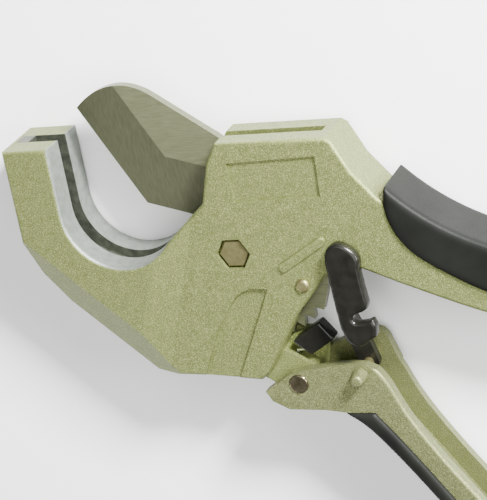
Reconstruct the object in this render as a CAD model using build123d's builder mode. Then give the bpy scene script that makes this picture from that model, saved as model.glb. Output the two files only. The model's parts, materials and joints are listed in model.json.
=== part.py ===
"""Ratchet pipe cutter for plastic pipe up to 42 mm, lying on its side.

The cutting plane is Z = 0, the pipe's axis is +Z and the origin is the centre of the pipe seat.
Outlines are drawn on planes that start at the blade's pivot, so they are in millimetres from it.
"""
import os
from math import cos, radians, sin

from build123d import *

# Overall sizes, in millimetres
PIVOT_X = 42.5
PIVOT_Y = -18.5
JAW_HALF = 14.0
HEAD_HALF = 11.0
GRIP_HALF = 12.5
RIM = 1.4

# Blade and its fastening
BLADE_HALF = 1.75
CAVITY_HALF = 2.3
CAVITY_RADIUS = 39.5
JAW_SLOT_HALF = 3.5
TAIL_RADIUS = 38.4
TAIL_ROOT = 34.8
TOOTH_STEP = 8.0
TOOTH_COUNT = 7
EDGE_GRIND = 18.8
HEEL_GRIND = 21.0
PANEL_DEPTH = 1.0
BUSH_RADIUS = 5.0
BOLT_RADIUS = 3.0
RUNNING = 0.05

# Pin positions from the blade's pivot
HANDLE_PIN = (15.9, -52.6)
DRIVE_PIN = (40.3, -49.4)
HOLD_PIN = (20.4, -39.0)
LEAF_X = 14.7
LATCH_PIN = (42.2, -2.0)
STOP_ANGLE = -27.9
STOP_RADIUS = 27.8

# Handle pieces
HANDLE_PIN_RADIUS = 3.75
CHEEK_GAP_HALF = 6.7
EAR_HALF = 6.4
PAWL_SLOT_LOW = -0.2
DRIVE_LENGTH = 26.4
DRIVE_ANGLE = 110
LATCH_BASE = 11.4
LATCH_TOP = 15.4


def at_pivot(z):
    """Return a plane parallel to the blade whose origin is over its pivot."""
    return Plane(origin=(PIVOT_X, PIVOT_Y, z))


def polar(radius, angle):
    """Return a point at this radius and angle from the blade's pivot."""
    return (radius * cos(radians(angle)), radius * sin(radians(angle)))


STOP_PIN = polar(STOP_RADIUS, STOP_ANGLE)

# Outline of the grip on the upper handle
with BuildSketch(at_pivot(-GRIP_HALF)) as upper_grip_outline:
    with BuildLine():
        Spline((61, 24), (75, 11.5), (93, 1.5), (110, -4), (126, -7), (139, -8))
        ThreePointArc((139, -8), (143.5, -16.5), (139, -25))
        Spline((139, -25), (108, -22.2), (92, -17.3), (79, -10), (66.4, -0.4), (60.6, 10.5), (61, 24))
    make_face()

# Outline of the grip on the lower handle
with BuildSketch(at_pivot(-GRIP_HALF)) as lower_grip_outline:
    with BuildLine():
        Polyline((31.5, -64.6), (43.5, -64.6))
        Spline((43.5, -64.6), (49.5, -72.5), (69, -100.7), (82, -120.5), (92, -138))
        ThreePointArc((92, -138), (91, -143.5), (85.5, -142))
        Spline((85.5, -142), (74, -119), (60, -97.4), (45.2, -77), (38, -69), (31.5, -64.6))
    make_face()


# Body casting: hook, lower jaw, head and upper handle in one piece
with BuildPart() as body_casting:
    with BuildSketch(at_pivot(-JAW_HALF)):
        with BuildLine():
            Polyline((0.7, 42.6), (-4, 35.5), (-8.5, 20), (-28.2, 2.4))
            ThreePointArc((-28.2, 2.4), (-57.7, 3.3), (-64, 18.5))
            Polyline((-64, 18.5), (-64, 44.8), (-82.7, 44.8), (-82.6, 10), (-79.4, -6), (-71.7, -18.6))
            Polyline((-71.7, -18.6), (-41.4, -47.9), (-22, -48.7), (1.6, -51), (5.8, -47.8), (12, -38))
            Polyline((12, -38), (20.3, -24.8), (33.8, -9.9), (40, -7), (47.9, -7.5), (60.8, -13.5))
            Spline((60.8, -13.5), (71.5, -18.1), (91.1, -25.9), (112, -31.4), (134, -32.3))
            ThreePointArc((134, -32.3), (139, -30.2), (140, -24.5))
            Polyline((140, -24.5), (138, -16), (110, -10), (93, -5), (75, 6), (58.2, 18.9))
            Polyline((58.2, 18.9), (50, 29.5), (44.4, 41.2), (42.3, 42.6))
            Line((42.3, 42.6), (0.7, 42.6))
        make_face()
    extrude(amount=2 * JAW_HALF)
    # The jaw thickens to the left of a crease that leans across the head
    crease = Plane(origin=(PIVOT_X - 18.5, PIVOT_Y, 0), x_dir=(0.948, -0.32, 0), z_dir=(0.32, 0.948, 0))
    with BuildSketch(crease.offset(-180)):
        with BuildLine():
            Polyline((-120, -14), (-12, -14), (0, -11), (200, -11), (200, 11), (0, 11), (-12, 14))
            Polyline((-12, 14), (-120, 14), (-120, -14))
        make_face()
    extrude(amount=360, mode=Mode.INTERSECT)
    # Wide bevel along the jaw's lower edge
    edge_origin = (PIVOT_X - 71.7, PIVOT_Y - 18.6, 0)
    bevel = Plane(origin=edge_origin, x_dir=(0.695, 0.719, 0), z_dir=(-0.719, 0.695, 0))
    with BuildSketch(bevel.offset(-200)):
        with BuildLine():
            Polyline((0, -6), (13, -14.01), (300, -14.01), (300, 14.01), (13, 14.01), (0, 6), (0, -6))
        make_face()
    extrude(amount=400, mode=Mode.INTERSECT)
    # Rounded rims, except round the bevel
    rims = body_casting.edges().filter_by(lambda e: abs(e.center().Z) > 5.5 and e.length > 0.5)
    rims = rims.filter_by(lambda e: abs(e.tangent_at(0.5).Z) < 0.5)
    fillet(rims.filter_by(lambda e: e.center().X > PIVOT_X - 35 or e.center().Y > PIVOT_Y + 10), RIM)
    # Ear that carries the lower handle
    with BuildSketch(at_pivot(-EAR_HALF)):
        with BuildLine():
            Polyline((-4, -40), (13, -34), (17, -36.2), (24.5, -36.4), (25.5, -40), (22.6, -51), (20, -57.8))
            Polyline((20, -57.8), (15, -59.4), (8, -56), (-4, -48), (-4, -40))
        make_face()
    extrude(amount=EAR_HALF + PAWL_SLOT_LOW)
    with BuildSketch(at_pivot(PAWL_SLOT_LOW)):
        with BuildLine():
            Polyline((-4, -40), (8, -39.5), (19.1, -45.6), (22.4, -47.5), (22.6, -51), (20, -57.8), (15, -59.4))
            Polyline((15, -59.4), (8, -56), (-4, -48), (-4, -40))
        make_face()
    extrude(amount=EAR_HALF - PAWL_SLOT_LOW)
    # Seat under the upper grip, which wraps round a thinner core
    extrude(upper_grip_outline.sketch, amount=2 * GRIP_HALF, mode=Mode.SUBTRACT)
    with BuildSketch(at_pivot(-8)):
        with BuildLine():
            Polyline((56, 17), (63, 16), (76, 6), (93, -2), (110, -7.5), (134, -11.5), (134, -30))
            Polyline((134, -30), (110, -30.5), (91, -25), (71.5, -17.2), (56, -9), (56, 17))
        make_face()
    extrude(amount=16)
    # Space between the cheeks for the blade and its tail
    with BuildSketch(at_pivot(-CAVITY_HALF)):
        Circle(CAVITY_RADIUS)
        with BuildLine():
            Polyline((-8, 30), (38.9, 30), (38.9, 50), (-8, 50), (-8, 30))
        make_face()
    extrude(amount=2 * CAVITY_HALF, mode=Mode.SUBTRACT)
    # Slot in the hook and the seat, which the closing edge enters
    with BuildSketch(at_pivot(-JAW_SLOT_HALF)):
        with BuildLine():
            Polyline((-60, 50), (-76, 50), (-77, 25), (-79, 12), (-77, 7.5), (-38, -11), (-24, -4), (-20, 12))
            Line((-20, 12), (-60, 50))
        make_face()
    extrude(amount=2 * JAW_SLOT_HALF, mode=Mode.SUBTRACT)
    # Pocket for the two pawls
    with BuildSketch(at_pivot(-4.2)):
        with BuildLine():
            Polyline((17, -25), (29, -8), (29, 0), (44, -1), (47, -12), (30, -34), (17, -36), (17, -25))
        make_face()
    extrude(amount=8.4, mode=Mode.SUBTRACT)
    # Bore, nut recess and hexagonal bolt recess at the blade's pivot
    with BuildSketch(at_pivot(-20)):
        Circle(BOLT_RADIUS + RUNNING)
        with Locations(STOP_PIN):
            Circle(2.4)
        with Locations(HANDLE_PIN):
            Circle(HANDLE_PIN_RADIUS + RUNNING)
    extrude(amount=40, mode=Mode.SUBTRACT)
    with BuildSketch(at_pivot(7.5)):
        RegularPolygon(6.6, 6, rotation=0)
    extrude(amount=10, mode=Mode.SUBTRACT)
    with BuildSketch(at_pivot(-7)):
        Circle(7.5)
    extrude(amount=-10, mode=Mode.SUBTRACT)
    with BuildSketch(at_pivot(-CAVITY_HALF - 1)):
        Circle(8.1)
    extrude(amount=2 * CAVITY_HALF + 2, mode=Mode.SUBTRACT)
    # Slit for the leaf spring, blind hole for the holding pawl's pin, and a pocket for the handle's spring
    with BuildSketch(at_pivot(PAWL_SLOT_LOW)):
        with Locations((LEAF_X, -44.2)):
            Rectangle(0.7, 3.6)
    extrude(amount=4, mode=Mode.SUBTRACT)
    with BuildSketch(at_pivot(-4)):
        with Locations(HOLD_PIN):
            Circle(1.5)
    extrude(amount=10, mode=Mode.SUBTRACT)
    with BuildSketch(at_pivot(-EAR_HALF)):
        with Locations(HANDLE_PIN):
            Circle(5.6)
    extrude(amount=2.4, mode=Mode.SUBTRACT)
    # Blind hole for the latch's pin
    with BuildSketch(at_pivot(5)):
        with Locations(LATCH_PIN):
            Circle(2.5)
    extrude(amount=10, mode=Mode.SUBTRACT)
    # Shallow blank panel for a name
    with BuildSketch(at_pivot(HEAD_HALF - PANEL_DEPTH)):
        with BuildLine():
            Polyline((3.8, 35.2), (37.7, 36.2), (37.2, 21), (4.1, 20), (3.8, 35.2))
        make_face()
        fillet(vertices(), 0.4)
    extrude(amount=5, mode=Mode.SUBTRACT)
    # Stepped relief on both cheeks
    for side in (1, -1):
        with BuildSketch(at_pivot(side * (HEAD_HALF - 1.5))):
            with BuildLine():
                Polyline((10.8, -14.2), (4.4, -13.6), (0.1, -15), (-3.3, -18), (-11.6, -29.5), (-22.3, -52))
                Polyline((-22.3, -52), (-8.3, -53), (10.8, -14.2))
            make_face()
        extrude(amount=side * 5, mode=Mode.SUBTRACT)
    # Raised rib on the near cheek
    with BuildSketch(at_pivot(HEAD_HALF - 0.5)):
        with Locations(Location((26.45, -0.85), 31)):
            SlotCenterToCenter(18, 4)
    extrude(amount=1.5, taper=15)
body_casting.part.label = "body_casting"


# Blade: cutting edge on the left, hub on the bolt, ratchet teeth round the tail
with BuildPart() as blade:
    with BuildSketch(at_pivot(-BLADE_HALF)):
        with BuildLine():
            Line((-55.1, 55.9), (-34.7, 17.4))
            Polyline((-34.7, 17.4), (-9.8, 9.8), (-12, -6), (-10, -24), polar(TAIL_ROOT, -98))
            ratchet = [polar(TAIL_ROOT, -98)]
            for i in reversed(range(TOOTH_COUNT)):
                tip = -44.7 - TOOTH_STEP * i
                ratchet.append(polar(TAIL_ROOT, tip - 3))
                ratchet.append(polar(TAIL_RADIUS, tip))
            ratchet.append((29.2, -21.9))
            Polyline(*ratchet)
            Spline((29.2, -21.9), (31.5, -13), (33, -4), (31, 7), (24, 19), (12, 30.5), (-1.3, 42.1))
            Line((-1.3, 42.1), (-24.5, 59.6))
            Spline((-24.5, 59.6), (-29.5, 62.4), (-36, 63.9), (-42.8, 63.1), (-48.7, 60.6), (-55.1, 55.9))
        make_face()
    extrude(amount=2 * BLADE_HALF)
    # Ground bevels on both sides of the cutting edge and of the heel, which meet in a mitre
    corner = (PIVOT_X - 34.7, PIVOT_Y + 17.4, 0)
    edge_plane = Plane(origin=corner, x_dir=(0.883, 0.468, 0), z_dir=(0.468, -0.883, 0))
    heel_plane = Plane(origin=corner, x_dir=(0.292, 0.957, 0), z_dir=(0.957, -0.292, 0))
    for ground, start, length, width in (
        (edge_plane, -64, 90, EDGE_GRIND),
        (heel_plane, -30, 56, HEEL_GRIND),
    ):
        with BuildSketch(ground.offset(start)):
            with BuildLine():
                Polyline((-0.5, 0.15), (width, BLADE_HALF), (width, 6), (-0.5, 6), (-0.5, 0.15))
            make_face()
            mirror(about=Plane.XZ)
        extrude(amount=length, mode=Mode.SUBTRACT)
    # Hub bore and the curved slot for the stop pin
    with BuildSketch(at_pivot(-5)):
        Circle(BUSH_RADIUS + RUNNING)
        with BuildLine():
            CenterArc((0, 0), STOP_RADIUS + 2.6, -67, 66.5)
            ThreePointArc(polar(30.4, -0.5), polar(STOP_RADIUS, 4.9), polar(25.2, -0.5))
            CenterArc((0, 0), STOP_RADIUS - 2.6, -67, 66.5)
            ThreePointArc(polar(25.2, -67), polar(STOP_RADIUS, -72.4), polar(30.4, -67))
        make_face()
    extrude(amount=10, mode=Mode.SUBTRACT)
blade.part.label = "blade"

# Bush that the blade turns on
with BuildPart() as pivot_bush:
    with BuildSketch(at_pivot(-CAVITY_HALF - 0.95)):
        Circle(BUSH_RADIUS)
        Circle(BOLT_RADIUS + 0.02, mode=Mode.SUBTRACT)
    extrude(amount=2 * (CAVITY_HALF + 0.95))
pivot_bush.part.label = "pivot_bush"


def thrust_washer(z):
    """Make a thin washer beside the blade's hub."""
    with BuildPart() as washer:
        with BuildSketch(at_pivot(z)):
            Circle(7.8)
            Circle(BUSH_RADIUS + 0.1, mode=Mode.SUBTRACT)
        extrude(amount=1.2)
    return washer.part


near_washer = thrust_washer(BLADE_HALF + 0.1)
near_washer.label = "near_washer"
far_washer = thrust_washer(-BLADE_HALF - 1.3)
far_washer.label = "far_washer"

# Hexagon bolt that clamps the cheeks
with BuildPart() as pivot_bolt:
    with BuildSketch(at_pivot(-12)):
        Circle(BOLT_RADIUS)
    extrude(amount=19.6)
    with BuildSketch(at_pivot(7.5)):
        RegularPolygon(5.8, 6, rotation=0)
    extrude(amount=2.6)
    chamfer(pivot_bolt.faces().sort_by(Axis.Z)[-1].edges(), 0.4)
pivot_bolt.part.label = "pivot_bolt"

# Nut in the far cheek
with BuildPart() as pivot_nut:
    with BuildSketch(at_pivot(-11.8)):
        RegularPolygon(5.75, 6)
        Circle(BOLT_RADIUS, mode=Mode.SUBTRACT)
    extrude(amount=4.0)
    chamfer(pivot_nut.faces().sort_by(Axis.Z)[0].outer_wire().edges(), 0.3)
pivot_nut.part.label = "pivot_nut"

# Washer under the nut
with BuildPart() as nut_washer:
    with BuildSketch(at_pivot(-7.8)):
        Circle(7)
        Circle(BOLT_RADIUS + 0.1, mode=Mode.SUBTRACT)
    extrude(amount=0.8)
nut_washer.part.label = "nut_washer"

# Pin that stops the blade at both ends of its travel
with BuildPart() as stop_pin:
    with BuildSketch(at_pivot(-10.6)):
        with Locations(STOP_PIN):
            Circle(2.4)
    extrude(amount=21.8)
    with BuildSketch(at_pivot(HEAD_HALF)):
        with Locations(STOP_PIN):
            Circle(2.6)
    extrude(amount=1.3)
    fillet(stop_pin.faces().sort_by(Axis.Z)[-1].edges(), 1.1)
stop_pin.part.label = "stop_pin"

# Rubber grip on the upper handle
with BuildPart() as upper_grip:
    extrude(upper_grip_outline.sketch, amount=2 * GRIP_HALF)
    fillet(upper_grip.edges().filter_by(lambda e: abs(e.tangent_at(0.5).Z) < 0.5), 2.2)
    with BuildSketch(at_pivot(-8)):
        with BuildLine():
            Polyline((50, 19), (63, 16), (76, 6), (93, -2), (110, -7.5), (134, -11.5), (134, -34))
            Polyline((134, -34), (50, -34), (50, 19))
        make_face()
    extrude(amount=16, mode=Mode.SUBTRACT)
upper_grip.part.label = "upper_grip"

# Lower handle: two cheeks joined by a floor, with a channel between them
with BuildPart() as lower_handle:
    with BuildSketch(at_pivot(-HEAD_HALF)):
        with BuildLine():
            Polyline((31.6, -64.4), (24.4, -63.4), (10.5, -63), (4.4, -59.6), (2.2, -55.6), (13, -48.8))
            Polyline((13, -48.8), (20.5, -47), (29.1, -45.6), (37.2, -45), (42.5, -45.5), (46.6, -47.4))
            Spline((46.6, -47.4), (49.6, -51.6), (53.9, -61.5), (59.9, -73.1), (72.1, -92), (98, -132.5))
            ThreePointArc((98, -132.5), (98, -141), (90, -141))
            Spline((90, -141), (75, -117), (60, -95), (46, -76), (38, -68.4), (31.6, -64.4))
        make_face()
    extrude(amount=2 * HEAD_HALF)
    rims = lower_handle.edges().filter_by(lambda e: abs(e.tangent_at(0.5).Z) < 0.5)
    fillet(rims.filter_by(lambda e: e.center().X > PIVOT_X + 45), 1.2)
    # Taller far cheek beside the head
    with BuildSketch(at_pivot(-HEAD_HALF)):
        with BuildLine():
            Polyline((20.5, -49), (20.5, -47), (26.4, -44.4), (34, -41.4), (41.5, -39.1))
            ThreePointArc((41.5, -39.1), (45.3, -40.6), (47.2, -44.2))
            Polyline((47.2, -44.2), (50, -52.5), (44, -54), (20.5, -49))
        make_face()
    extrude(amount=HEAD_HALF - CHEEK_GAP_HALF)
    # Seat under the lower grip, which wraps round a thinner core
    extrude(lower_grip_outline.sketch, amount=2 * GRIP_HALF, mode=Mode.SUBTRACT)
    with BuildSketch(at_pivot(-8)):
        with BuildLine():
            Polyline((33, -60), (41, -66.5), (48.5, -75), (63, -95.5), (77.5, -117), (86, -131))
            Polyline((86, -131), (92, -126.9), (77, -104), (54, -70), (45, -60), (33, -60))
        make_face()
    extrude(amount=16)
    # Channel between the cheeks, open along the inner side
    with BuildSketch(at_pivot(-CHEEK_GAP_HALF)):
        with BuildLine():
            Polyline((-2, -40), (-2, -60.2), (34, -60.2), (40, -59), (46, -66), (62, -89), (80, -116))
            Polyline((80, -116), (100, -104), (60, -40), (-2, -40))
        make_face()
    extrude(amount=2 * CHEEK_GAP_HALF, mode=Mode.SUBTRACT)
    # Stud over the end of the drive pawl's pin
    with BuildSketch(at_pivot(HEAD_HALF - 0.5)):
        with Locations(DRIVE_PIN):
            Circle(3.1)
    extrude(amount=6.3, taper=9)
    fillet(lower_handle.faces().sort_by(Axis.Z)[-1].edges(), 1)
    # Bores for the two pins
    with BuildSketch(at_pivot(-20)):
        with Locations(HANDLE_PIN):
            Circle(HANDLE_PIN_RADIUS + RUNNING)
    extrude(amount=40, mode=Mode.SUBTRACT)
    with BuildSketch(at_pivot(-12)):
        with Locations(DRIVE_PIN):
            Circle(2)
    extrude(amount=22, mode=Mode.SUBTRACT)
lower_handle.part.label = "lower_handle"

# Rubber grip on the lower handle
with BuildPart() as lower_grip:
    extrude(lower_grip_outline.sketch, amount=2 * GRIP_HALF)
    fillet(lower_grip.edges().filter_by(lambda e: abs(e.tangent_at(0.5).Z) < 0.5), 2)
    with BuildSketch(at_pivot(-8)):
        with BuildLine():
            Polyline((33, -60), (41, -66.5), (48.5, -75), (63, -95.5), (77.5, -117), (86, -131))
            Polyline((86, -131), (100, -122), (77, -90), (54, -60), (33, -60))
        make_face()
    extrude(amount=16, mode=Mode.SUBTRACT)
lower_grip.part.label = "lower_grip"

# Polished pin that joins the lower handle to the ear
with BuildPart() as handle_pin:
    with BuildSketch(at_pivot(-12.5)):
        with Locations(HANDLE_PIN):
            Circle(HANDLE_PIN_RADIUS)
    extrude(amount=24)
    fillet(handle_pin.faces().sort_by(Axis.Z)[-1].edges(), 0.6)
    with BuildSketch(at_pivot(-12)):
        with Locations(HANDLE_PIN):
            Circle(5)
            Circle(HANDLE_PIN_RADIUS - 0.5, mode=Mode.SUBTRACT)
    extrude(amount=0.9, mode=Mode.SUBTRACT)
handle_pin.part.label = "handle_pin"

# Retaining ring in the pin's groove
with BuildPart() as pin_ring:
    with BuildSketch(at_pivot(-11.95)):
        with Locations(HANDLE_PIN):
            Circle(5.4)
            Circle(HANDLE_PIN_RADIUS - 0.5, mode=Mode.SUBTRACT)
        with Locations((HANDLE_PIN[0], HANDLE_PIN[1] + 5)):
            Rectangle(3, 5, mode=Mode.SUBTRACT)
    extrude(amount=0.8)
pin_ring.part.label = "pin_ring"

# Coil spring round the handle's pin
with BuildPart() as handle_spring:
    coil_centre = (PIVOT_X + HANDLE_PIN[0], PIVOT_Y + HANDLE_PIN[1], -EAR_HALF + 0.5)
    with BuildLine() as coil_line:
        Helix(pitch=0.95, height=1.5, radius=4.7, center=coil_centre)
    with BuildSketch(Plane(origin=coil_line.line @ 0, z_dir=coil_line.line % 0)):
        Circle(0.42)
    sweep(path=coil_line.line, is_frenet=True)
handle_spring.part.label = "handle_spring"

# Drive pawl: swings on its pin in the lower handle and pushes the blade's teeth
pawl_axis = Vector(cos(radians(DRIVE_ANGLE)), sin(radians(DRIVE_ANGLE)), 0)
pawl_side = Vector(sin(radians(DRIVE_ANGLE)), -cos(radians(DRIVE_ANGLE)), 0)
drive_origin = Vector(PIVOT_X + DRIVE_PIN[0], PIVOT_Y + DRIVE_PIN[1], -3.5)
with BuildPart() as drive_pawl:
    with BuildSketch(Plane(origin=drive_origin, x_dir=pawl_axis, z_dir=(0, 0, 1))):
        Circle(3.9)
        with BuildLine():
            Polyline((0, 3.9), (12, 2.4), (DRIVE_LENGTH, 0.2), (DRIVE_LENGTH, -0.6))
            Polyline((DRIVE_LENGTH, -0.6), (24, -4.2), (8, -4.6), (0, -3.9), (0, 3.9))
        make_face()
        Circle(2 + RUNNING, mode=Mode.SUBTRACT)
    extrude(amount=3.4)
drive_pawl.part.label = "drive_pawl"

# Pin of the drive pawl
with BuildPart() as drive_pin:
    with BuildSketch(at_pivot(-10.4)):
        with Locations(DRIVE_PIN):
            Circle(2)
    extrude(amount=20.4)
drive_pin.part.label = "drive_pin"

# Holding pawl: a black block on the ear that keeps the blade from springing back
with BuildPart() as holding_pawl:
    with BuildSketch(at_pivot(0.1)):
        with BuildLine():
            Polyline((14.3, -37.6), (25.9, -30.2), (30.9, -37), (20.8, -43.4), (14.3, -37.6))
        make_face()
        fillet(vertices(), 0.8)
    extrude(amount=6.1)
    chamfer(holding_pawl.faces().sort_by(Axis.Z)[-1].edges(), 0.4)
    with BuildSketch(at_pivot(0.1)):
        with Locations(HOLD_PIN):
            Circle(1.5 + RUNNING)
    extrude(amount=3, mode=Mode.SUBTRACT)
holding_pawl.part.label = "holding_pawl"

# Pin of the holding pawl
with BuildPart() as holding_pin:
    with BuildSketch(at_pivot(-3.9)):
        with Locations(HOLD_PIN):
            Circle(1.5)
    extrude(amount=6.9)
holding_pin.part.label = "holding_pin"

# Leaf spring that presses the holding pawl on the teeth
with BuildPart() as pawl_spring:
    with BuildSketch(at_pivot(0.6)):
        with BuildLine() as leaf_line:
            Polyline((LEAF_X, -45.6), (LEAF_X, -42.3), (18.5, -42.2))
            offset(amount=0.3)
        make_face()
    extrude(amount=2.6)
pawl_spring.part.label = "pawl_spring"

# Latch lever with an open hook near its lower end
with BuildPart() as lock_latch:
    with BuildSketch(at_pivot(LATCH_BASE)):
        with BuildLine():
            Spline((36, -7.7), (36, -1.2), (37.8, 2.8), (41.2, 4.2), (45, 2.8), (47.8, 0), (48.2, -5.5))
            Polyline((48.2, -5.5), (48.6, -12), (49.4, -19.2), (48.6, -21.4), (46.3, -22.6), (43.8, -23.4))
            ThreePointArc((43.8, -23.4), (42.6, -25.2), (44.4, -26.6))
            Polyline((44.4, -26.6), (48, -26.2), (50.2, -25.3), (51.2, -28), (50.6, -32), (46, -35.2))
            ThreePointArc((46, -35.2), (41.6, -35.8), (38.6, -32.7))
            Polyline((38.6, -32.7), (37.4, -28.6), (36.7, -20), (36, -7.7))
        make_face()
    extrude(amount=LATCH_TOP - LATCH_BASE)
    chamfer(lock_latch.faces().sort_by(Axis.Z)[-1].edges(), 0.7)
    with BuildSketch(at_pivot(LATCH_BASE)):
        with Locations(LATCH_PIN):
            Circle(2.5 + RUNNING)
    extrude(amount=2.6, mode=Mode.SUBTRACT)
lock_latch.part.label = "lock_latch"

# Blind pin of the latch
with BuildPart() as latch_pin:
    with BuildSketch(at_pivot(5)):
        with Locations(LATCH_PIN):
            Circle(2.5)
    extrude(amount=8.8)
latch_pin.part.label = "latch_pin"

# Spring washer between the latch and the cheek
with BuildPart() as latch_washer:
    with BuildSketch(at_pivot(HEAD_HALF)):
        with Locations(LATCH_PIN):
            Circle(4.2)
            Circle(2.6, mode=Mode.SUBTRACT)
    extrude(amount=0.35)
latch_washer.part.label = "latch_washer"

os.makedirs("parts", exist_ok=True)
export_step(body_casting.part, "parts/body_casting.step")
export_step(blade.part, "parts/blade.step")
export_step(pivot_bush.part, "parts/pivot_bush.step")
export_step(near_washer, "parts/near_washer.step")
export_step(far_washer, "parts/far_washer.step")
export_step(pivot_bolt.part, "parts/pivot_bolt.step")
export_step(pivot_nut.part, "parts/pivot_nut.step")
export_step(nut_washer.part, "parts/nut_washer.step")
export_step(stop_pin.part, "parts/stop_pin.step")
export_step(upper_grip.part, "parts/upper_grip.step")
export_step(lower_handle.part, "parts/lower_handle.step")
export_step(lower_grip.part, "parts/lower_grip.step")
export_step(handle_pin.part, "parts/handle_pin.step")
export_step(pin_ring.part, "parts/pin_ring.step")
export_step(handle_spring.part, "parts/handle_spring.step")
export_step(drive_pawl.part, "parts/drive_pawl.step")
export_step(drive_pin.part, "parts/drive_pin.step")
export_step(holding_pawl.part, "parts/holding_pawl.step")
export_step(holding_pin.part, "parts/holding_pin.step")
export_step(pawl_spring.part, "parts/pawl_spring.step")
export_step(lock_latch.part, "parts/lock_latch.step")
export_step(latch_pin.part, "parts/latch_pin.step")
export_step(latch_washer.part, "parts/latch_washer.step")
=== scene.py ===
"""Looks of the ratchet pipe cutter: painted castings, ground blade, rubber grips and dark levers."""
import json

import bmesh
import bpy
from mathutils import Matrix, Vector


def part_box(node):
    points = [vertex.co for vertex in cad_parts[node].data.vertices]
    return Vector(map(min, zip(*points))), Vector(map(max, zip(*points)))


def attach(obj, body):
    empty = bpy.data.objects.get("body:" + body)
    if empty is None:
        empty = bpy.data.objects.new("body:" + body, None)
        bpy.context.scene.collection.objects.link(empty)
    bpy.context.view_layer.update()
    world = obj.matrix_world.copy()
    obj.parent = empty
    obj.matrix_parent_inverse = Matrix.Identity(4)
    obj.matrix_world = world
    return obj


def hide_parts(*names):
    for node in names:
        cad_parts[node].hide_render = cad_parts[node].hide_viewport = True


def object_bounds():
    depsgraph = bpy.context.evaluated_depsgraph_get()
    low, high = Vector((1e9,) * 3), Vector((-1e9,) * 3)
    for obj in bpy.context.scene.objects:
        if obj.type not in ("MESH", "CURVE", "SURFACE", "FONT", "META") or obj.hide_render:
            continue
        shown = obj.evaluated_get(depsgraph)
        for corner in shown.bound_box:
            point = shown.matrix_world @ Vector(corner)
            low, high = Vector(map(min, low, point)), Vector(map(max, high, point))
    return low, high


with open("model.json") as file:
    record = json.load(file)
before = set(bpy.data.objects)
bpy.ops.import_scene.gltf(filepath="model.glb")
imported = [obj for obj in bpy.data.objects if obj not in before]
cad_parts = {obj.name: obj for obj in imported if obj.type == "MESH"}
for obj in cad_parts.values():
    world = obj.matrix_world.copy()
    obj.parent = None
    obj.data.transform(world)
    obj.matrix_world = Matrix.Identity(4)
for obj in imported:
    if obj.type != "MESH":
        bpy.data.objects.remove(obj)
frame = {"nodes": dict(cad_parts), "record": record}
cad_low, cad_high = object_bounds()
nodes = frame["nodes"]
body_of_node = {
    node: body
    for body, members in frame["record"]["behaviour"]["bodies"].items()
    for node in members
}
slot_of_node = {row["node"]: row["material_slot"] for row in frame["record"]["subparts"]}

# Camera at the photograph's viewing angle: places in metres and a direction, all in the row frame
CAMERA_AT = Vector((0.3454, 0.2694, 0.6911))
CAMERA_TARGET = Vector((0.0420, -0.0215, 0.0))
CAMERA_RIGHT = Vector((0.9264, -0.1781, -0.3318))
CAMERA_LENS = 158.9  # millimetres, on a sensor 36 mm wide

# Bare metal on the jaw's pipe seat and painted shade in its slot, in metres
SEAT_RADIUS = 0.0215  # curved seat that the pipe lies in
SLOT_HALF = 0.0035    # from the cutting plane to the wall of the slot that the blade closes into
SLOT_DEPTH = 0.0385   # just past the slot's furthest wall from the seat's axis
SLOT_END = 0.023      # just past the slot's end along X

# Limits of the colour masks, in metres
BARE_FADE = 0.0005      # bare metal turns to paint over this width
SEAT_MARGIN = 0.0004    # bare metal reaches this far past the seat's surface
WALL_MARGIN = 0.00002   # the slot's walls count as inside it and get its painted shade
WALL_FADE = 0.00003
BEVEL_MARGIN = 0.00003  # the blade's flat sides don't count as bevel
BEVEL_FADE = 0.00002

# Sizes of surface detail, in metres
PAINT_GRAIN = 0.00032
PAINT_RIPPLE = 0.0030
BLADE_MARKS = 0.004
STEEL_STAIN = 0.0022
TURNING_MARKS = 0.0012
LEVER_WAVE = 0.004
MOULD_GRAIN = 0.0004
RUBBED_PATCH = 0.018

# Depths of surface relief, in metres
PAINT_RELIEF = 0.00016
STEEL_RELIEF = 0.00002
LEVER_RELIEF = 0.00002
RUBBER_RELIEF = 0.00005

# How many times longer marks are than they are wide, and the turn of the blade's marks in radians
BLADE_STRETCH = 14.0
TURNING_STRETCH = 9.0
BLADE_TURN = 0.49

# Values of the noise at which the tones of a surface lie
PAINT_STOPS = (0.36, 0.53, 0.64)
DARK_STOP = 0.3
LIGHT_STOP = 0.7
SOFT_LIGHT_STOP = 0.75  # on the levers and the rubber

# Tones of each surface, from dark to light
CASTING_PAINT = ((0.085, 0.101, 0.031), (0.125, 0.147, 0.045), (0.34, 0.37, 0.15))
HANDLE_PAINT = ((0.075, 0.083, 0.032), (0.115, 0.127, 0.05), (0.29, 0.31, 0.14))
SEAT_METAL = ((0.15, 0.165, 0.145), (0.21, 0.23, 0.205))
# painted shade: dark tones that stand for the shadow inside the jaw's slot
SLOT_PAINTED_SHADE = ((0.035, 0.04, 0.03), (0.075, 0.082, 0.062))
BLADE_FLAT = ((0.21, 0.225, 0.125), (0.28, 0.30, 0.17))
BLADE_BEVEL = ((0.12, 0.127, 0.075), (0.165, 0.173, 0.105))
BOLT_METAL = ((0.22, 0.20, 0.085), (0.32, 0.295, 0.135))
PIN_METAL = ((0.10, 0.085, 0.05), (0.20, 0.175, 0.11))
SPRING_METAL = ((0.36, 0.37, 0.36), (0.52, 0.53, 0.52))
LEVER_BLACK = ((0.0045, 0.0045, 0.0034), (0.0085, 0.0085, 0.0065))
RUBBER_BLACK = ((0.0035, 0.004, 0.0032), (0.0075, 0.0082, 0.0066))
FLOOR_PAPER = (0.93, 0.93, 0.93)

# Lowest and highest roughness of each surface
PAINT_ROUGH = (0.28, 0.52)
BLADE_ROUGH = (0.26, 0.40)
BOLT_ROUGH = (0.25, 0.42)
PIN_ROUGH = (0.05, 0.22)
SPRING_ROUGH = (0.19, 0.36)
LEVER_ROUGH = (0.16, 0.30)
RUBBER_ROUGH = (0.42, 0.60)

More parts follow.
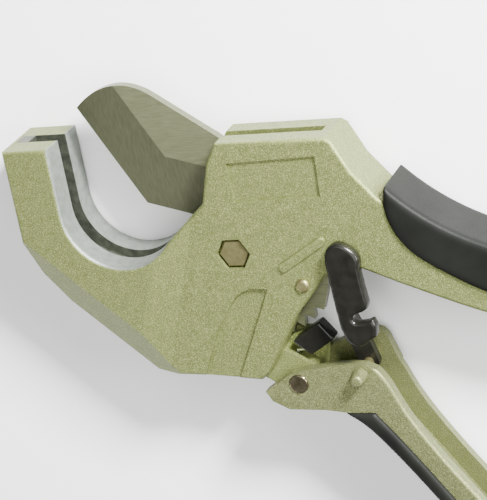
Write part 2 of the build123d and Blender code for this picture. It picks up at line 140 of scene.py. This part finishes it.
CLOUD_SHARE = 0.15  # largest share of the ripple's tones in the paint's colour

# Mesh cleaning and rounding, in metres and radians
WELD_REACH = 1e-6   # points nearer than this become one
FLAT_ANGLE = 0.002  # faces that meet at less than this become one
EDGE_ROUND = 0.0003
EDGE_ANGLE = 0.7    # edges that turn by more than this are rounded

# Studio, in metres
FLOOR_REACH = 3.0
FLOOR_GAP = 0.0001
WORLD_STRENGTH = 0.22

# Lights: name, place from the tool's centre in metres, width in metres, power in watts
LIGHTS = [
    ("key", (0.62, 0.72, 0.42), 0.2, 85.0),
    ("overhead", (0.15, 0.1, 0.95), 0.8, 10.0),
    ("fill", (-0.7, -0.6, 0.38), 0.5, 3.5),
    ("rim", (0.7, 0.1, 0.3), 0.25, 7.0),
]


# ---------------------------------------------------------------- shader nodes

def new_material(name):
    """Make a material and return it with its node tree and its shader."""
    material = bpy.data.materials.new(name)
    material.use_nodes = True
    tree = material.node_tree
    return material, tree, tree.nodes["Principled BSDF"]


def object_coords(tree):
    """Return the coordinates that stay with the piece as it moves."""
    return tree.nodes.new("ShaderNodeTexCoord").outputs["Object"]


def noise(tree, vector, size, detail=2.0, roughness=0.5):
    """Return noise whose features are about this size in metres."""
    node = tree.nodes.new("ShaderNodeTexNoise")
    node.inputs["Scale"].default_value = 1.0 / size
    node.inputs["Detail"].default_value = detail
    node.inputs["Roughness"].default_value = roughness
    tree.links.new(vector, node.inputs["Vector"])
    return node.outputs["Fac"]


def stretched(tree, vector, scale, turn=0.0):
    """Return coordinates scaled along each axis, for brushed or turned marks."""
    node = tree.nodes.new("ShaderNodeMapping")
    node.inputs["Rotation"].default_value = (0.0, 0.0, turn)
    node.inputs["Scale"].default_value = scale
    tree.links.new(vector, node.inputs["Vector"])
    return node.outputs["Vector"]


def ramp(tree, value, stops):
    """Return a colour from a value, by stops of (position, colour)."""
    node = tree.nodes.new("ShaderNodeValToRGB")
    elements = node.color_ramp.elements
    while len(elements) < len(stops):
        elements.new(0.5)
    for element, (position, colour) in zip(elements, stops):
        element.position = position
        element.color = (*colour, 1.0)
    tree.links.new(value, node.inputs["Fac"])
    return node.outputs["Color"]


def two_tones(tree, value, tones, light_stop=LIGHT_STOP):
    """Return a colour that runs from the dark tone to the light one."""
    return ramp(tree, value, list(zip((DARK_STOP, light_stop), tones)))


def spread(tree, value, limits):
    """Return a value stretched from 0..1 to these limits."""
    node = tree.nodes.new("ShaderNodeMapRange")
    node.inputs["To Min"].default_value, node.inputs["To Max"].default_value = limits
    tree.links.new(value, node.inputs["Value"])
    return node.outputs["Result"]


def mix(tree, factor, first, second):
    """Return a mix of two colours."""
    node = tree.nodes.new("ShaderNodeMix")
    node.data_type = "RGBA"
    tree.links.new(factor, node.inputs["Factor"])
    tree.links.new(first, node.inputs["A"])
    tree.links.new(second, node.inputs["B"])
    return node.outputs["Result"]


def calculate(tree, operation, first, second=None):
    """Return a maths node's answer for a value and, if given, a number or another value."""
    node = tree.nodes.new("ShaderNodeMath")
    node.operation = operation
    tree.links.new(first, node.inputs[0])
    if isinstance(second, float):
        node.inputs[1].default_value = second
    elif second is not None:
        tree.links.new(second, node.inputs[1])
    return node.outputs["Value"]


def mask_below(tree, value, limit, fade):
    """Return 1 where the value is under the limit, falling to 0 over the fade above it."""
    node = tree.nodes.new("ShaderNodeMapRange")
    node.inputs["From Min"].default_value = limit
    node.inputs["From Max"].default_value = limit + fade
    node.inputs["To Min"].default_value = 1.0
    node.inputs["To Max"].default_value = 0.0
    tree.links.new(value, node.inputs["Value"])
    return node.outputs["Result"]


def bump(tree, shader, height, distance):
    """Give the shader relief of this height in metres."""
    node = tree.nodes.new("ShaderNodeBump")
    node.inputs["Distance"].default_value = distance
    node.inputs["Strength"].default_value = 1.0
    tree.links.new(height, node.inputs["Height"])
    tree.links.new(node.outputs["Normal"], shader.inputs["Normal"])


def split_axes(tree, coords):
    """Return the X, Y and Z of coordinates."""
    axes = tree.nodes.new("ShaderNodeSeparateXYZ")
    tree.links.new(coords, axes.inputs["Vector"])
    return axes.outputs


def seat_distance(tree, axes):
    """Return the distance from the seat's axis or, above the axis, from the plane X = 0."""
    flat = tree.nodes.new("ShaderNodeCombineXYZ")
    tree.links.new(axes["X"], flat.inputs["X"])
    tree.links.new(calculate(tree, "MINIMUM", axes["Y"], 0.0), flat.inputs["Y"])
    length = tree.nodes.new("ShaderNodeVectorMath")
    length.operation = "LENGTH"
    tree.links.new(flat.outputs["Vector"], length.inputs[0])
    return length.outputs["Value"]


# ---------------------------------------------------------------- materials

def hammered_paint(name, tones, bare_seat_and_slot_shade=False):
    """Sparkling metallic paint on a casting, with bare metal in the pipe seat and painted shade in
    the jaw's slot if asked for.
    """
    material, tree, shader = new_material(name)
    coords = object_coords(tree)
    grain = noise(tree, coords, PAINT_GRAIN, detail=3.0, roughness=0.65)
    ripple = noise(tree, coords, PAINT_RIPPLE)
    sparkle = ramp(tree, grain, list(zip(PAINT_STOPS, tones)))
    cloud = two_tones(tree, ripple, tones[1:])
    colour = mix(tree, calculate(tree, "MULTIPLY", ripple, CLOUD_SHARE), sparkle, cloud)
    if bare_seat_and_slot_shade:
        # bare metal in the pipe seat, and painted shade inside the jaw's slot
        colour = seat_metal_and_slot_shade(tree, coords, ripple, colour)
    tree.links.new(colour, shader.inputs["Base Color"])
    tree.links.new(spread(tree, grain, PAINT_ROUGH), shader.inputs["Roughness"])
    shader.inputs["Metallic"].default_value = 0.6
    shader.inputs["Specular IOR Level"].default_value = 0.3
    bump(tree, shader, grain, PAINT_RELIEF)
    return material


def seat_metal_and_slot_shade(tree, coords, ripple, paint):
    """Return the paint's colour, with metal on the pipe seat and painted shade in its slot."""
    axes = split_axes(tree, coords)
    distance = seat_distance(tree, axes)
    height = calculate(tree, "ABSOLUTE", axes["Z"])
    seat = mask_below(tree, distance, SEAT_RADIUS + SEAT_MARGIN, BARE_FADE)
    # mask of the painted shade: inside the slot, between its walls and short of its end
    slot = calculate(
        tree,
        "MULTIPLY",
        mask_below(tree, height, SLOT_HALF + WALL_MARGIN, WALL_FADE),
        mask_below(tree, distance, SLOT_DEPTH, BARE_FADE),
    )
    slot = calculate(tree, "MULTIPLY", slot, mask_below(tree, axes["X"], SLOT_END, BARE_FADE))
    colour = mix(tree, seat, paint, two_tones(tree, ripple, SEAT_METAL))
    return mix(tree, slot, colour, two_tones(tree, ripple, SLOT_PAINTED_SHADE))


def ground_steel():
    """Blade steel: fine marks one way on the flat, and the other way on the ground bevel."""
    material, tree, shader = new_material("ground_steel")
    coords = object_coords(tree)
    flat_way = stretched(tree, coords, (1.0, BLADE_STRETCH, 1.0), BLADE_TURN)
    bevel_way = stretched(tree, coords, (BLADE_STRETCH, 1.0, 1.0), BLADE_TURN)
    along = noise(tree, flat_way, BLADE_MARKS, detail=3.0)
    across = noise(tree, bevel_way, BLADE_MARKS, detail=3.0)
    flat_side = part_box("blade")[1].z
    height = calculate(tree, "ABSOLUTE", split_axes(tree, coords)["Z"])
    bevel = mask_below(tree, height, flat_side - BEVEL_MARGIN, BEVEL_FADE)
    flat_colour = two_tones(tree, along, BLADE_FLAT)
    bevel_colour = two_tones(tree, across, BLADE_BEVEL)
    tree.links.new(mix(tree, bevel, flat_colour, bevel_colour), shader.inputs["Base Color"])
    tree.links.new(spread(tree, along, BLADE_ROUGH), shader.inputs["Roughness"])
    shader.inputs["Metallic"].default_value = 0.85
    bump(tree, shader, across, STEEL_RELIEF)
    return material


def turned_steel(name, tones, rough):
    """Plain machined steel with a slight stain."""
    material, tree, shader = new_material(name)
    coords = object_coords(tree)
    stain = noise(tree, coords, STEEL_STAIN, detail=3.0)
    marks = noise(tree, stretched(tree, coords, (1.0, TURNING_STRETCH, 1.0)), TURNING_MARKS)
    tree.links.new(two_tones(tree, stain, tones), shader.inputs["Base Color"])
    tree.links.new(spread(tree, marks, rough), shader.inputs["Roughness"])
    shader.inputs["Metallic"].default_value = 0.9
    bump(tree, shader, marks, STEEL_RELIEF)
    return material


def dark_lever():
    """Glossy near-black finish with the faint waves of a cast part under it."""
    material, tree, shader = new_material("dark_lever")
    coords = object_coords(tree)
    wave = noise(tree, coords, LEVER_WAVE)
    grain = noise(tree, coords, MOULD_GRAIN)
    colour = two_tones(tree, wave, LEVER_BLACK, SOFT_LIGHT_STOP)
    tree.links.new(colour, shader.inputs["Base Color"])
    tree.links.new(spread(tree, grain, LEVER_ROUGH), shader.inputs["Roughness"])
    shader.inputs["Specular IOR Level"].default_value = 0.3
    bump(tree, shader, wave, LEVER_RELIEF)
    return material


def moulded_rubber():
    """Matt charcoal rubber with a fine moulded grain, paler in patches as if rubbed."""
    material, tree, shader = new_material("moulded_rubber")
    coords = object_coords(tree)
    grain = noise(tree, coords, MOULD_GRAIN, detail=3.0)
    rub = noise(tree, coords, RUBBED_PATCH)
    colour = two_tones(tree, rub, RUBBER_BLACK, SOFT_LIGHT_STOP)
    tree.links.new(colour, shader.inputs["Base Color"])
    tree.links.new(spread(tree, grain, RUBBER_ROUGH), shader.inputs["Roughness"])
    shader.inputs["Specular IOR Level"].default_value = 0.1
    bump(tree, shader, grain, RUBBER_RELIEF)
    return material


MATERIALS = {
    "painted_casting": hammered_paint("painted_casting", CASTING_PAINT, bare_seat_and_slot_shade=True),
    "painted_handle": hammered_paint("painted_handle", HANDLE_PAINT),
    "grip_rubber": moulded_rubber(),
    "blade_steel": ground_steel(),
    "bolt_steel": turned_steel("bolt_steel", BOLT_METAL, BOLT_ROUGH),
    "polished_pin": turned_steel("polished_pin", PIN_METAL, PIN_ROUGH),
    "black_steel": dark_lever(),
    "spring_steel": turned_steel("spring_steel", SPRING_METAL, SPRING_ROUGH),
}


# ---------------------------------------------------------------- pieces

def finish_cad_node(name):
    """Give a CAD node its material."""
    node = nodes[name]
    for slot in node.material_slots:
        slot.link = "OBJECT"
        slot.material = MATERIALS[slot_of_node[name]]


def welded_copy(name, suffix):
    """Return a new object with a cleaned copy of a CAD node's mesh."""
    mesh = nodes[name].data.copy()
    work = bmesh.new()
    work.from_mesh(mesh)
    bmesh.ops.remove_doubles(work, verts=work.verts, dist=WELD_REACH)
    bmesh.ops.recalc_face_normals(work, faces=work.faces)
    work.to_mesh(mesh)
    work.free()
    if "custom_normal" in mesh.attributes:
        mesh.attributes.remove(mesh.attributes["custom_normal"])
    piece = bpy.data.objects.new(f"{name}_{suffix}", mesh)
    bpy.context.scene.collection.objects.link(piece)
    mesh.materials.clear()
    mesh.materials.append(MATERIALS[slot_of_node[name]])
    return piece


def apply_modifiers(piece):
    """Turn the modified shape into the piece's own mesh."""
    bpy.context.view_layer.update()
    evaluated = piece.evaluated_get(bpy.context.evaluated_depsgraph_get())
    made = bpy.data.meshes.new_from_object(evaluated)
    piece.modifiers.clear()
    piece.data = made


def stand_in(piece, name):
    """Tie a piece to the body of the CAD node that it stands for."""
    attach(piece, body_of_node[name])
    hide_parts(name)


def soften(name, voxel, rounds):
    """Stand a softly rounded, finely meshed piece in place of a moulded CAD node."""
    piece = welded_copy(name, "moulded")
    remesh = piece.modifiers.new("remesh", "REMESH")
    remesh.mode = "VOXEL"
    remesh.voxel_size = voxel
    remesh.use_smooth_shade = True
    smooth = piece.modifiers.new("smooth", "SMOOTH")
    smooth.factor = 0.5
    smooth.iterations = rounds
    apply_modifiers(piece)
    for polygon in piece.data.polygons:
        polygon.use_smooth = True
    stand_in(piece, name)


def round_edges(name):
    """Stand a copy with small rounded edges in place of a painted casting."""
    piece = welded_copy(name, "cast")
    work = bmesh.new()
    work.from_mesh(piece.data)
    bmesh.ops.dissolve_limit(work, angle_limit=FLAT_ANGLE, verts=work.verts, edges=work.edges)
    work.to_mesh(piece.data)
    work.free()
    rounding = piece.modifiers.new("rounding", "BEVEL")
    rounding.width = EDGE_ROUND
    rounding.segments = 2
    rounding.limit_method = "ANGLE"
    rounding.angle_limit = EDGE_ANGLE
    rounding.harden_normals = True
    apply_modifiers(piece)
    stand_in(piece, name)


for cad_name in sorted(nodes):
    finish_cad_node(cad_name)
round_edges("body_casting")
round_edges("lower_handle")
soften("upper_grip", voxel=0.0006, rounds=6)
soften("lower_grip", voxel=0.0006, rounds=6)
soften("lock_latch", voxel=0.00035, rounds=16)
soften("holding_pawl", voxel=0.0003, rounds=3)


# ---------------------------------------------------------------- studio

def studio_floor():
    """Pale floor just under the side that the tool rests on."""
    mesh = bpy.data.meshes.new("floor")
    level = cad_low.z - FLOOR_GAP
    signs = ((-1, -1), (1, -1), (1, 1), (-1, 1))
    corners = [(x * FLOOR_REACH, y * FLOOR_REACH, level) for x, y in signs]
    mesh.from_pydata(corners, [], [(0, 1, 2, 3)])
    floor = bpy.data.objects.new("floor", mesh)
    bpy.context.scene.collection.objects.link(floor)
    material, _, shader = new_material("floor_paper")
    shader.inputs["Base Color"].default_value = (*FLOOR_PAPER, 1.0)
    shader.inputs["Roughness"].default_value = 0.9
    mesh.materials.append(material)


def area_light(name, place, target, size, power):
    """Soft square light that faces a point."""
    data = bpy.data.lights.new(name, "AREA")
    data.size = size
    data.energy = power
    light = bpy.data.objects.new(name, data)
    light.location = place
    light.rotation_mode = "QUATERNION"
    light.rotation_quaternion = (target - place).to_track_quat("-Z", "Y")
    bpy.context.scene.collection.objects.link(light)


def studio_camera():
    """Camera that looks at the tool as the photograph does."""
    data = bpy.data.cameras.new("camera")
    data.lens = CAMERA_LENS
    data.sensor_width = 36.0
    data.clip_start = 0.05
    camera = bpy.data.objects.new("camera", data)
    back = (CAMERA_AT - CAMERA_TARGET).normalized()
    up = back.cross(CAMERA_RIGHT).normalized()
    right = up.cross(back)
    turn = Matrix((right, up, back)).transposed().to_4x4()
    camera.matrix_world = Matrix.Translation(CAMERA_AT) @ turn
    bpy.context.scene.collection.objects.link(camera)
    bpy.context.scene.camera = camera


def studio_world():
    """Even pale surroundings."""
    world = bpy.data.worlds.new("studio")
    world.use_nodes = True
    background = world.node_tree.nodes["Background"]
    background.inputs["Color"].default_value = (1.0, 1.0, 1.0, 1.0)
    background.inputs["Strength"].default_value = WORLD_STRENGTH
    bpy.context.scene.world = world


centre = (cad_low + cad_high) / 2
studio_floor()
studio_world()
for light_name, offset, width, watts in LIGHTS:
    area_light(light_name, centre + Vector(offset), centre, width, watts)
studio_camera()
